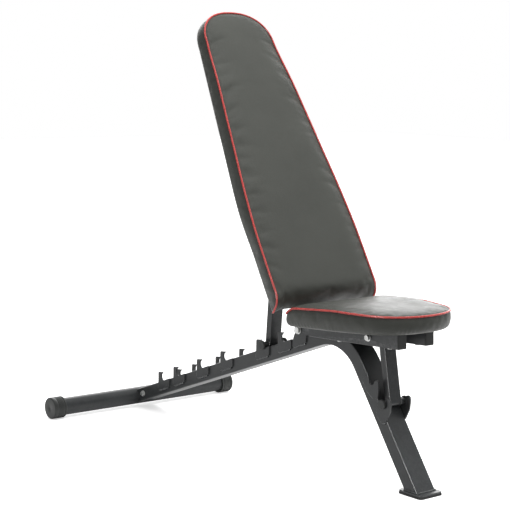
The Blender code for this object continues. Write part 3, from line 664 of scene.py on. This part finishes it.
def build_cushion(name, body, nodes, seam, base, upward, *, across, along, crown, bulge,
                  under_round, seed, closed_piping):
    """A boxed cushion: crowned panel inside the seam, a side band down to the base plane and a
    flat underside. upward is the panel's outward normal; crown, bulge and under_round are in
    millimetres. Returns the loop round the base."""
    upward = np.array(upward, float)
    seam_edges = sample_edges(seam, across, along)
    base_edges = sample_edges(base, across, along)
    loop, floor_loop = ring_of(*seam_edges), ring_of(*base_edges)
    places = ring_indices(across, along)

    # Panel
    numbers = np.arange((across + 1) * (along + 1)).reshape(across + 1, along + 1).tolist()
    verts = crowned(coons(*seam_edges), loop, upward, crown)
    cells = [(i, j) for i in range(across) for j in range(along)]
    faces = [
        (numbers[i][j], numbers[i + 1][j], numbers[i + 1][j + 1], numbers[i][j + 1])
        for i, j in cells
    ]

    # Side band
    drop = floor_loop - loop
    radius = np.minimum(under_round / 1000, np.linalg.norm(drop, axis=1) * 0.45)
    rings = [[numbers[i][j] for i, j in places]]
    for level in side_band(loop, drop, radius, upward, bulge):
        rings.append(list(range(len(verts), len(verts) + len(loop))))
        verts.extend(level)
    for upper, lower in zip(rings, rings[1:]):
        faces += bridge(upper, lower)

    # Underside, whose rim is the band's last ring
    under = coons(*base_edges).reshape(-1, 3)
    middle = under.mean(0)
    size = np.linalg.norm(under - middle, axis=1).clip(0.02)
    shrink = 1 - np.clip(radius.mean() / size, 0, 0.2)
    under = middle + (under - middle) * shrink[:, None]
    where = dict(zip(places, rings[-1]))
    for i in range(across + 1):
        for j in range(along + 1):
            if (i, j) not in where:
                where[i, j] = len(verts)
                verts.append(under[numbers[i][j]])
    faces += [
        (where[i, j], where[i, j + 1], where[i + 1, j + 1], where[i + 1, j]) for i, j in cells
    ]

    obj = make_mesh(name, verts, faces, VINYL)
    pinned = np.ones(len(verts), bool)
    pinned[:(across + 1) * (along + 1)] = False
    pinned[rings[0]] = True
    for ring in rings[1:1 + SOFT_LEVELS]:
        pinned[ring] = False
    simulate(obj, pinned)
    refine(obj)
    pucker(obj.data, loop, floor_loop, upward, seed)
    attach(obj, body)
    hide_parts(*nodes)

    if closed_piping:
        cord = around(loop, 520)
    else:  # up one side, over the top and down the other, stopping at the bottom corners
        cord = resample(np.vstack([loop[across:], loop[:1]]), 519)
    add_piping(name + "_piping", cord, upward, body, closed_piping)
    return floor_loop


# ------------------------------------------------------------------ back cushion
# Measured by rise up the back, y across and depth behind the front face, in millimetres
BACK_X, BACK_Z = HINGE_X + 79.8, HINGE_Z + 75.2  # where rise and depth are zero
RISE_X, RISE_Z = -0.5024, 0.8646  # direction up the back
BACK_NORMAL = (RISE_Z, 0.0, -RISE_X)
CAP_START, CAP_HALF = 735, 111  # rise and half width where the round top begins
CAP_RISE, CAP_POWER = 89.0, 0.87
CAP_SPLIT = 45  # degrees round the top where the side edges end
BACK_STATIONS = (  # rise, half width
    (0, 162), (60, 164.5), (180, 164), (280, 158.5), (440, 142.5), (600, 125.5),
    (CAP_START, CAP_HALF),
)
FALL, LOW_END = 40.0, 6.0  # radius of the roll at the bottom, and its lowest rise
CORNER = 3  # rounding of the bottom corners
BASE_DEPTH = 46.5
HEM_TUCK = 0.0065  # metres the bottom edge draws up between its corners


def back_place(rise, y, depth):
    return place(
        BACK_X + RISE_X * rise - RISE_Z * depth, y, BACK_Z + RISE_Z * rise + RISE_X * depth
    )


def recess(rise):
    """How far the front seam sits back towards the top, where the stuffing thins."""
    return eased(rise, 600.0, 730.0, 5.0)


def narrowing(rise):
    """How far the base outline lies inside the seam, most at the bottom."""
    return -1.5 + eased(rise, 290.0, 150.0, 8.0)


def cap_place(degrees, inset_of, depth_of):
    """Point on the round top, by degrees up from the -Y side."""
    angle = math.radians(degrees)
    inset = inset_of(CAP_START)
    y = -CAP_HALF * math.copysign(abs(math.cos(angle)) ** CAP_POWER, math.cos(angle))
    rise = CAP_START + CAP_RISE * math.sin(angle) ** CAP_POWER
    return rise - inset * math.sin(angle), y, depth_of(recess(rise))


def back_edge(side, inset_of, depth_of):
    """Side edge from the bottom to the split on the round top."""
    points = []
    for k in range(15):
        angle = math.radians(90 * k / 14)  # the panel rolls back under at the bottom
        rise = LOW_END + FALL * (1 - math.cos(angle))
        points.append((rise, depth_of(FALL * (1 - math.sin(angle)))))
    for k in range(1, 71):
        rise = LOW_END + FALL + (CAP_START - LOW_END - FALL) * k / 70
        points.append((rise, depth_of(recess(rise))))
    line = []
    for rise, depth in points:
        y = smooth_through(BACK_STATIONS, rise)
        if rise < LOW_END + CORNER:
            y -= CORNER - math.sqrt(max(0.0, CORNER**2 - (LOW_END + CORNER - rise) ** 2))
        line.append(back_place(rise, side * (y - inset_of(rise)), depth))
    for k in range(1, 17):
        rise, y, depth = cap_place(CAP_SPLIT * k / 16, inset_of, depth_of)
        line.append(back_place(rise, side * (-y - inset_of(CAP_START)), depth))
    return line


def back_edges(inset_of, depth_of):
    minus, plus = (back_edge(side, inset_of, depth_of) for side in (-1, 1))
    top = [
        back_place(*cap_place(CAP_SPLIT + 90 * k / 40, inset_of, depth_of)) for k in range(41)
    ]
    top[0], top[-1] = minus[-1], plus[-1]
    bottom = []
    for k in range(41):
        tuck = HEM_TUCK * min(1.0, math.sin(math.pi * k / 40) * 4)
        bottom.append(minus[0].lerp(plus[0], k / 40) + Vector((RISE_X, 0, RISE_Z)) * tuck)
    return bottom, top, minus, plus


back_floor = build_cushion(
    "back_cushion", "backrest", ("back_pad", "back_board"),
    seam=back_edges(lambda rise: 0.0, lambda depth: depth),
    base=back_edges(narrowing, lambda depth: BASE_DEPTH),
    upward=BACK_NORMAL, across=44, along=112, crown=6.5, bulge=2.2, under_round=7.0,
    seed=11, closed_piping=False,
)

# ------------------------------------------------------------------ seat cushion
SEAT_REAR, SEAT_FRONT = 808.5, 1136.0
SEAT_CORNER = 11  # radius of the rear corners
SEAT_STATIONS = (  # x, half width
    (812, 158), (873, 157), (921, 153), (970, 146.5), (1018, 137), (1045, 130.5),
)
SEAT_NOSE = (  # x, y, from the tip to the +Y side
    (1136, 0), (1134.8, 21), (1131, 42), (1124, 64), (1114, 83.5),
    (1101, 100.5), (1085, 114.5), (1067, 124), (1045, 130.5),
)
NOSE_X = SEAT_NOSE[-1][0]  # where the nose curve meets the straight side
SPLIT_Y = 100.5  # where the nose is divided between the end and side edges

# The curve overruns both ends of the nose, to give it the right slopes there
nose = through(
    [(x, -y) for x, y in SEAT_NOSE[1::-1]] + list(SEAT_NOSE[1:]) + [SEAT_STATIONS[-2]], per=8
)
nose = [(x, y) for x, y in nose if y >= 0 and x >= NOSE_X]
split = min(range(len(nose)), key=lambda k: abs(nose[k][1] - SPLIT_Y))


def seat_base_z(x):
    """Just above the sloping rails."""
    rail_start_x, rail_start_z, rail_slope, rail_height = 789.6, 326.9, 0.0484, 37.0
    return rail_start_z + rail_slope * (x - rail_start_x) + rail_height + 0.25


def seat_seam_z(x):
    """Level towards the nose, dipping to the rear and sharply over the last of it."""
    level, dip, last_dip = 422.4, 9.4, 17.0
    dip_x, last_x = 970, 850
    if x >= dip_x:
        return level
    if x >= last_x:
        return level - dip * ((dip_x - x) / (dip_x - last_x)) ** 1.25
    return level - dip - last_dip * min(1.0, (last_x - x) / 37) ** 2.2


def rear_corner(degrees):
    """Point on the +Y rear corner, from 0 at the side to 90 at the rear."""
    angle = math.radians(degrees)
    start = SEAT_REAR + SEAT_CORNER
    half = smooth_through(SEAT_STATIONS, start)
    return (
        start - SEAT_CORNER * math.sin(angle),
        half - SEAT_CORNER + SEAT_CORNER * math.cos(angle),
    )


def mirrored(points):
    return [(x, -y) for x, y in points]


def seat_edges(inset, height_of):
    def placed(points):
        middle = (SEAT_REAR + SEAT_FRONT) / 2
        line = []
        for x, y in points:
            pulled = middle + (x - middle) * (1 - 2 * inset / (SEAT_FRONT - SEAT_REAR))
            line.append(place(pulled, y * (1 - inset / 150.0), height_of(pulled)))
        return line

    side = [rear_corner(45 - 45 * k / 6) for k in range(7)]
    for k in range(1, 40):
        x = SEAT_REAR + SEAT_CORNER + (NOSE_X - SEAT_REAR - SEAT_CORNER) * k / 40
        side.append((x, smooth_through(SEAT_STATIONS, x)))
    side += nose[:split - 1:-1]

    corner = [rear_corner(45 + 45 * k / 6) for k in range(7)]
    rear_x, rear_y = corner[-1]
    flat = [(rear_x, rear_y * (2 * k / 20 - 1)) for k in range(1, 20)]
    tip = nose[:split + 1]

    minus, plus = placed(mirrored(side)), placed(side)
    rear = placed(mirrored(corner) + flat + corner[::-1])
    front = placed(mirrored(tip[::-1]) + tip[1:])
    rear[0], rear[-1], front[0], front[-1] = minus[0], plus[0], minus[-1], plus[-1]
    return rear, front, minus, plus


seat_floor = build_cushion(
    "seat_cushion", "seat", ("seat_pad", "seat_board"),
    seam=seat_edges(0.0, seat_seam_z), base=seat_edges(2.0, seat_base_z),
    upward=(0.0, 0.0, 1.0), across=44, along=46, crown=7.0, bulge=3.0, under_round=11.0,
    seed=23, closed_piping=True,
)


# ------------------------------------------------------------------ dust covers and staples
COVER_INSET = 0.017
COVER_STEPS = (  # inset beyond COVER_INSET, height: a raised hem, then the sheet inside it
    (0.0, 0.0), (0.0006, 0.00022), (0.008, 0.00022), (0.009, 0.0001),
)


def dust_cover(name, ring, lift, body):
    """Thin hemmed sheet under a cushion's board; lift points away from it and scales heights."""
    outward = unit(outward_of(ring, tangents(ring), lift))
    verts = []
    for inset, height in COVER_STEPS:
        verts.extend(ring - outward * (COVER_INSET + inset) + lift * height)
    count = len(ring)
    rings = [list(range(k * count, (k + 1) * count)) for k in range(len(COVER_STEPS))]
    faces = []
    for outer, inner in zip(rings, rings[1:]):
        faces += bridge(outer, inner)
    faces.append(tuple(rings[-1]))
    faces.append(tuple(rings[0][::-1]))
    make_mesh(name, verts, faces, COVER, body)


def back_staples(ring, lift):
    """Crown staples through the hem, each a small bent wire."""
    pitch, inset = 0.032, 0.0215
    half_crown, half_foot, depth = 0.005, 0.0052, 0.0003
    crown_height, wire_radius = 0.0002, 0.00028
    gap_y, gap_half, gap_top = 0.032, 0.020, 0.6  # low patches at both sides left bare
    length = reach_along(np.vstack([ring, ring[:1]]))[-1]
    spots = around(ring, int(length / pitch))
    tangent = unit(tangents(spots))
    inward = -outward_of(spots, tangent, lift)
    rng = np.random.default_rng(5)
    chunks = []
    for spot, forward, inner in zip(spots, tangent, inward):
        turn = rng.uniform(-0.25, 0.25)
        along = forward * math.cos(turn) + inner * math.sin(turn)
        centre = spot + inner * (inset + rng.uniform(-0.001, 0.001))
        if abs(abs(centre[1]) - gap_y) < gap_half and centre[2] < gap_top:
            continue
        path = [
            centre - along * half_foot - lift * depth,
            centre - along * half_crown + lift * crown_height,
            centre + along * half_crown + lift * crown_height,
            centre + along * half_foot - lift * depth,
        ]
        chunks.append(tube(path, wire_radius, closed=False, sides=6))
    joined("back_staples", chunks, ZINC, "backrest")


back_lift = -np.array(BACK_NORMAL)
dust_cover("back_dust_cover", around(back_floor, 260), back_lift, "backrest")
back_staples(back_floor, back_lift)
dust_cover("seat_dust_cover", around(seat_floor, 200), np.array((0.0, 0.0, -0.6)), "seat")


# ------------------------------------------------------------------ weld beads
def bead(start, end, radius, seed):
    """Stacked-coin weld bead: a rippled cord that dies away at both ends."""
    start, end = np.array(start, float), np.array(end, float)
    length = np.linalg.norm(end - start)
    count = max(8, int(length / 0.0007))
    share = np.linspace(0, 1, count)
    run = share * length * 1000
    rng = np.random.default_rng(seed)
    line = start + (end - start) * share[:, None]
    side = np.cross(end - start, (0.3, 0.5, 0.8))
    side /= np.linalg.norm(side)
    drift = 0.00025 * np.sin(run / 6.5 + rng.uniform(0, 6)) + 0.00015 * np.sin(run / 2.3)
    line += side * drift[:, None]
    coins = 1 + 0.16 * np.abs(np.sin(np.pi * run / 2.1 + rng.uniform(0, 3)))
    fade = np.clip(np.minimum(share, 1 - share) * length / 0.003, 0.25, 1) ** 0.5
    return tube(line, radius, closed=False, sides=8, ripple=coins * fade)


def bead_run(points, radius, seed):
    """Beads end to end through a list of points."""
    return [
        bead(start, end, radius, seed + i)
        for i, (start, end) in enumerate(zip(points, points[1:]))
    ]


def bead_circle(centre, y, radius, bead_radius, seed):
    """Bead round a bar that runs along Y."""
    count = 56
    angle = np.linspace(0, 2 * np.pi, count, endpoint=False)
    x = centre[0] + radius * np.cos(angle)
    z = centre[2] + radius * np.sin(angle)
    coins = 1 + 0.16 * np.abs(np.sin(angle * 11 + seed))
    return tube(np.stack([x, np.full(count, y), z], 1), bead_radius, sides=8, ripple=coins)


def weld(name, chunks, body):
    # The beads' lighter paint is a painted highlight.
    joined(name, chunks, WELD_PAINT_PAINTED_HIGHLIGHT, body)


HOOKS = (142.6, 213.4, 320.1, 422.9, 572.0, 657.7)  # x of each hook along the sloping rail
HOOK_Y, LEG_HOOK_Y = 32.3, 31.3
LONG_BEAD = (-14, 27, 24.8)  # x before and after the hook, drop below the slope line
UPRIGHT_BEAD = (-18.9, 19, 6)  # x from the hook, lower and upper drop
LAST_BEAD = (701, 743, 22.6)  # x from and to, drop
LEG_HOOK_RUNS = (  # seed, (x, z) points
    (50, ((1000.2, 186), (1003.2, 168), (1021.6, 151.2), (1031, 155))),
    (60, ((951.4, 243.5), (965.2, 221.4), (989.4, 205.7))),
)


def below_slope(x, y, drop):
    return place(x, y, 46.4 + 0.371 * x - drop)


def hook_welds(side, word):
    y = side * HOOK_Y
    chunks = []

    def level_bead(start, end, drop, seed):
        chunks.append(bead(below_slope(start, y, drop), below_slope(end, y, drop), 0.0025, seed))

    for number, x in enumerate(HOOKS):
        before, after, drop = LONG_BEAD
        level_bead(x + before, x + after, drop, seed=number)
        offset, lower, upper = UPRIGHT_BEAD
        ends = [below_slope(x + offset, y, drop) for drop in (lower, upper)]
        chunks.append(bead(*ends, radius=0.0016, seed=number + 20))
    level_bead(*LAST_BEAD, seed=40)
    weld(f"hook_welds_{word}", chunks, "frame")


def leg_hook_welds(side, word):
    chunks = []
    for seed, points in LEG_HOOK_RUNS:
        run = [place(x, side * LEG_HOOK_Y, z) for x, z in points]
        chunks += bead_run(run, radius=0.0018, seed=seed)
    weld(f"leg_hook_welds_{word}", chunks, "frame")


for side, word in SIDES:
    hook_welds(side, word)
    leg_hook_welds(side, word)

FOOT_FRONT, FOOT_REAR, FOOT_HALF, FOOT_Z = 1140.4, 1095.9, 30.6, 9.9
foot_corners = [
    place(x, y, FOOT_Z)
    for x, y in (
        (FOOT_FRONT, -FOOT_HALF), (FOOT_FRONT, FOOT_HALF), (FOOT_REAR, FOOT_HALF),
        (FOOT_REAR, -FOOT_HALF), (FOOT_FRONT, -FOOT_HALF),
    )
]
weld("foot_welds", bead_run(foot_corners, radius=0.0020, seed=70), "frame")

for strut in ("back_strut", "seat_strut"):
    low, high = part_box(strut + "_crossbar")
    chunks = [
        bead_circle(
            (low + high) / 2, y=side * 0.0189, radius=0.0086, bead_radius=0.0013, seed=3 + side
        )
        for side, _ in SIDES
    ]
    weld(strut + "_welds", chunks, strut)


def plate_welds(name, body, where, ends, faces_y, seed):
    """Equal straight beads on both faces of a pair of plates; where places (end, y)."""
    chunks = [
        bead(where(ends[0], side * y), where(ends[1], side * y), radius=0.0016, seed=seed)
        for side, _ in SIDES
        for y in faces_y
    ]
    weld(name, chunks, body)


plate_welds(
    "seat_tongue_welds", "seat", lambda z, y: place(783.2, y, z),
    ends=(330, 359), faces_y=(34.0, 39.6), seed=90,
)
plate_welds(
    "back_lug_welds", "backrest", lambda depth, y: back_place(29.4, y, depth),
    ends=(50, 76), faces_y=(24.7, 30.1), seed=95,
)


# ------------------------------------------------------------------ stabiliser end caps
def turned(name, profile, centre, mat, body, steps=96):
    """Turned piece about a line along Y. profile is (radius, y) from the axis to the axis."""
    verts, faces, rings = [], [], []
    for radius, y in profile:
        count = 1 if radius == 0 else steps
        rings.append(list(range(len(verts), len(verts) + count)))
        for k in range(count):
            angle = 2 * math.pi * k / steps
            x = centre[0] + radius * math.sin(angle)
            verts.append((x, y, centre[2] - radius * math.cos(angle)))
    for first, second in zip(rings, rings[1:]):
        if len(first) == 1:
            faces += [(first[0], second[k], second[(k + 1) % steps]) for k in range(steps)]
        elif len(second) == 1:
            faces += [(first[k], first[(k + 1) % steps], second[0]) for k in range(steps)]
        else:
            faces += bridge(first, second)
    return make_mesh(name, verts, faces, mat, body)


def end_cap(side, word):
    """Ribbed cap with a wide bore from its inner end and a rounded outer edge."""
    bore, outer_round, rib_pitch = 0.0245, 3.5, 4.6
    node = f"stabilizer_cap_{word}"
    low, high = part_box(node)
    centre = ((low[0] + high[0]) / 2, 0, (low[2] + high[2]) / 2)
    inner, outer = (low[1], high[1]) if side > 0 else (high[1], low[1])
    rim = (high[2] - low[2]) / 2
    length = abs(outer - inner) * 1000

    # Radius in metres, depth from the inner end in millimetres
    profile = [
        (0, length - 5.2), (bore, length - 5.2), (bore, 0.4), (bore + 0.0007, 0),
        (rim - 0.0012, 0), (rim - 0.0003, 0.4), (rim, 1.2), (rim, 3.9), (rim - 0.0004, 4.6),
        (rim - 0.0017, 5.2), (rim - 0.0017, 7.0), (rim - 0.0004, 7.6),
    ]
    depth = 8.4
    while depth < length - 12:
        profile += [
            (rim, depth), (rim, depth + 2.6), (rim - 0.0007, depth + 3.0),
            (rim - 0.0007, depth + 3.8), (rim, depth + 4.2),
        ]
        depth += rib_pitch
    for k in range(8):
        angle = math.radians(90 * k / 7)
        profile.append((
            rim - outer_round / 1000 + outer_round / 1000 * math.cos(angle),
            length - outer_round + outer_round * math.sin(angle),
        ))
    profile += [  # a shallow dimple in the middle of the outer face
        (rim * 0.55, length - 0.25), (0.0040, length - 0.35), (0.0034, length - 0.8),
        (0, length - 0.9),
    ]
    profile = [(radius, inner + side * depth / 1000) for radius, depth in profile]
    cap = turned(f"end_cap_{word}", profile, centre, PLASTIC, "frame")
    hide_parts(node)


for side, word in SIDES:
    end_cap(side, word)


# ------------------------------------------------------------------ floor
def floor_material():
    """White floor that glows to the camera, and reflects darker light ahead of the bench."""
    white, dark = (0.93, 0.93, 0.93), (0.16, 0.16, 0.16)
    mat = Material("studio_floor")
    mat.surface(Base_Color=white, Roughness=0.7, Specular_IOR_Level=0.1)
    seen = mat.add("ShaderNodeLightPath", {}).outputs["Is Camera Ray"]
    fade = mat.ramp(mat.dot(mat.coords, (0.97, -0.25, 0.0)), span=(0.55, 1.3))
    fade = mat.maths("MULTIPLY", fade, mat.maths("SUBTRACT", 1.0, seen))
    mat.surface(Base_Color=mat.mix(fade, white, dark))
    glow = mat.add("ShaderNodeEmission", {"Color": (1, 1, 1)})
    mat.feed(glow.inputs["Strength"], mat.maths("MULTIPLY", seen, 0.55))
    both = mat.add("ShaderNodeAddShader", {0: mat.shader.outputs[0], 1: glow.outputs[0]})
    mat.feed(mat.nodes["Material Output"].inputs["Surface"], both.outputs[0])
    return mat.data


def add_floor():
    half, z = 14.0, -0.0002
    mesh = bpy.data.meshes.new("studio_floor")
    corners = [(-half, -half, z), (half, -half, z), (half, half, z), (-half, half, z)]
    mesh.from_pydata(corners, [], [(0, 1, 2, 3)])
    floor = bpy.data.objects.new("studio_floor", mesh)
    scene.collection.objects.link(floor)
    mesh.materials.append(floor_material())


# ------------------------------------------------------------------ world
def add_world():
    """Soft sky, brightest overhead and towards a backdrop; plain white to the camera."""
    studio = bpy.data.worlds.new("studio")
    scene.world = studio
    studio.use_nodes = True
    sky = Nodes(studio.node_tree)
    seen = sky.add("ShaderNodeLightPath", {}).outputs["Is Camera Ray"]
    ray = sky.add("ShaderNodeTexCoord", {}).outputs["Generated"]

    def lobe(direction, span, to):
        """Sky brightness as a ray turns towards direction."""
        return sky.ramp(sky.dot(ray, Vector(direction).normalized()), span=span, to=to)

    soft = lobe((0.12, 0.22, 0.97), span=(-0.28, 0.98), to=(0.06, 0.86))
    backdrop = lobe((-0.74, 0.62, 0.20), span=(0.72, 0.94), to=(0.0, 2.8))
    soft = sky.maths("ADD", soft, backdrop)
    strength = sky.add("ShaderNodeMix", {0: seen, 2: soft, 3: 1.0}, data_type="FLOAT")
    background = sky.nodes["Background"]
    sky.feed(background.inputs["Strength"], strength.outputs[0])
    sky.feed(background.inputs["Color"], (1, 1, 1))


# ------------------------------------------------------------------ lights
def area(name, location, target, size, power, glossy=True, diffuse=True):
    light = bpy.data.lights.new(name, "AREA")
    light.shape = "RECTANGLE"
    light.size, light.size_y = size
    light.energy = power
    obj = bpy.data.objects.new(name, light)
    obj.location = location
    aim = Vector(target) - Vector(location)
    obj.rotation_euler = aim.to_track_quat("-Z", "Y").to_euler()
    obj.visible_glossy = glossy
    obj.visible_diffuse = diffuse
    obj.visible_camera = False
    scene.collection.objects.link(obj)
    return obj


def add_lights():
    area(
        "key_softbox", location=(2.4, 0.6, 3.0), target=(0.1, 0, 0.5),
        size=(1.8, 1.4), power=8, glossy=False,
    )
    area(
        "top_softbox", location=(0.9, 0.3, 3.2), target=(0.0, 0, 0.4),
        size=(2.6, 1.8), power=84, glossy=False,
    )
    strip = area(
        "edge_strip", location=(1.25, -2.85, 0.62), target=(0.4, 0, 0.25),
        size=(1.1, 1.0), power=190, diffuse=False,
    )
    # The strip's glints fall only on paint and piping
    receivers = bpy.data.collections.new("edge_strip_receivers")
    for obj in bpy.data.objects:
        if obj.type == "MESH" and any(
            mat in (PAINT, WELD_PAINT_PAINTED_HIGHLIGHT, PIPING) for mat in obj.data.materials
        ):
            receivers.objects.link(obj)
    strip.light_linking.receiver_collection = receivers


# ------------------------------------------------------------------ camera
def add_camera():
    location = (2.85297, -2.41136, 0.97200)
    yaw, pitch, roll = 0.8797511, 0.1259176, 0.0181471  # radians; pitch is downwards
    camera = bpy.data.cameras.new("camera")
    camera.sensor_width = 36.0
    camera.lens = 103.22
    obj = bpy.data.objects.new("camera", camera)
    scene.collection.objects.link(obj)
    look = Vector((
        -math.sin(yaw) * math.cos(pitch), math.cos(yaw) * math.cos(pitch), -math.sin(pitch)
    ))
    right = Vector((math.cos(yaw), math.sin(yaw), 0))
    upward = right.cross(look)
    camera_x = right * math.cos(roll) + upward * math.sin(roll)
    camera_y = -right * math.sin(roll) + upward * math.cos(roll)
    axes = Matrix((camera_x, camera_y, -look)).transposed().to_4x4()
    obj.matrix_world = Matrix.Translation(location) @ axes
    scene.camera = obj


add_floor()
add_world()
add_lights()
add_camera()
scene.view_settings.view_transform = "Standard"
scene.view_settings.look = "None"
